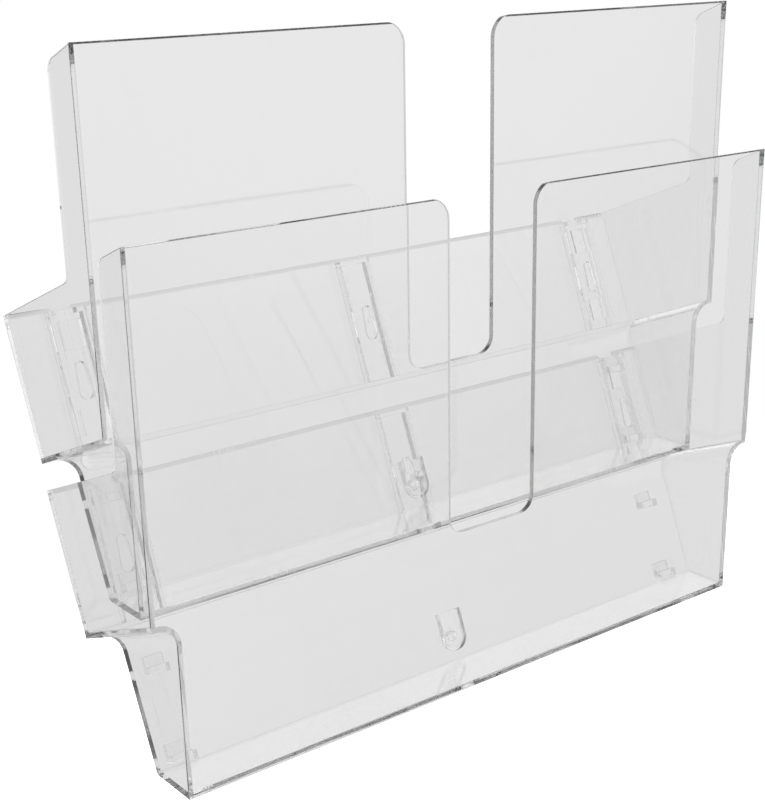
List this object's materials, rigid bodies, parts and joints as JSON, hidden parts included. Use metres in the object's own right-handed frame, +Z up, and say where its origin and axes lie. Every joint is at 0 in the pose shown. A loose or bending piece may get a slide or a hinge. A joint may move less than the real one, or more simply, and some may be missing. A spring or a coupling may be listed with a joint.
{
  "type": "magazine rack",
  "caption": "Wall-hung rack for magazines: clear moulded pockets with leaning fronts and finger notches, each hooked into the back of the one above.",
  "frame": {"origin": "on the wall plane, behind the narrow end of the upper pocket's middle keyhole slot, where its middle wall screw sits", "axes": "+X to the right as the reader faces the rack, +Y into the wall, +Z up the wall; the papers go in from above and the front panels lean towards -Y"},
  "size_m": [0.33, 0.1096, 0.2659],
  "materials": {
    "clear_plastic": "clear, glossy, slightly smoky at the edges"
  },
  "bodies": {
    "upper": {"upper_pocket": "clear_plastic"},
    "upper_tongue": {"upper_snap_tongue": "clear_plastic"},
    "lower": {"lower_pocket": "clear_plastic"},
    "lower_tongue": {"lower_snap_tongue": "clear_plastic"}
  },
  "joints": [
    {"name": "lower_pocket_lift", "type": "slide", "parent": "upper", "child": "lower", "axis": [0, 0, 1], "range_m": [0, 0.0045]},
    {"name": "upper_tongue_flex", "type": "hinge", "parent": "upper", "child": "upper_tongue", "pos_m": [0, -0.00893, -0.0704], "axis": [-1, 0, 0], "range_deg": [0, 12], "stiffness_Nm_per_rad": 0.03},
    {"name": "lower_tongue_flex", "type": "hinge", "parent": "lower", "child": "lower_tongue", "pos_m": [0, -0.00893, -0.14], "axis": [-1, 0, 0], "range_deg": [0, 12], "stiffness_Nm_per_rad": 0.03}
  ],
  "couplings": [
    {"joint": "upper_tongue_flex", "follows": "lower_pocket_lift", "rad_per_m": 45}
  ]
}
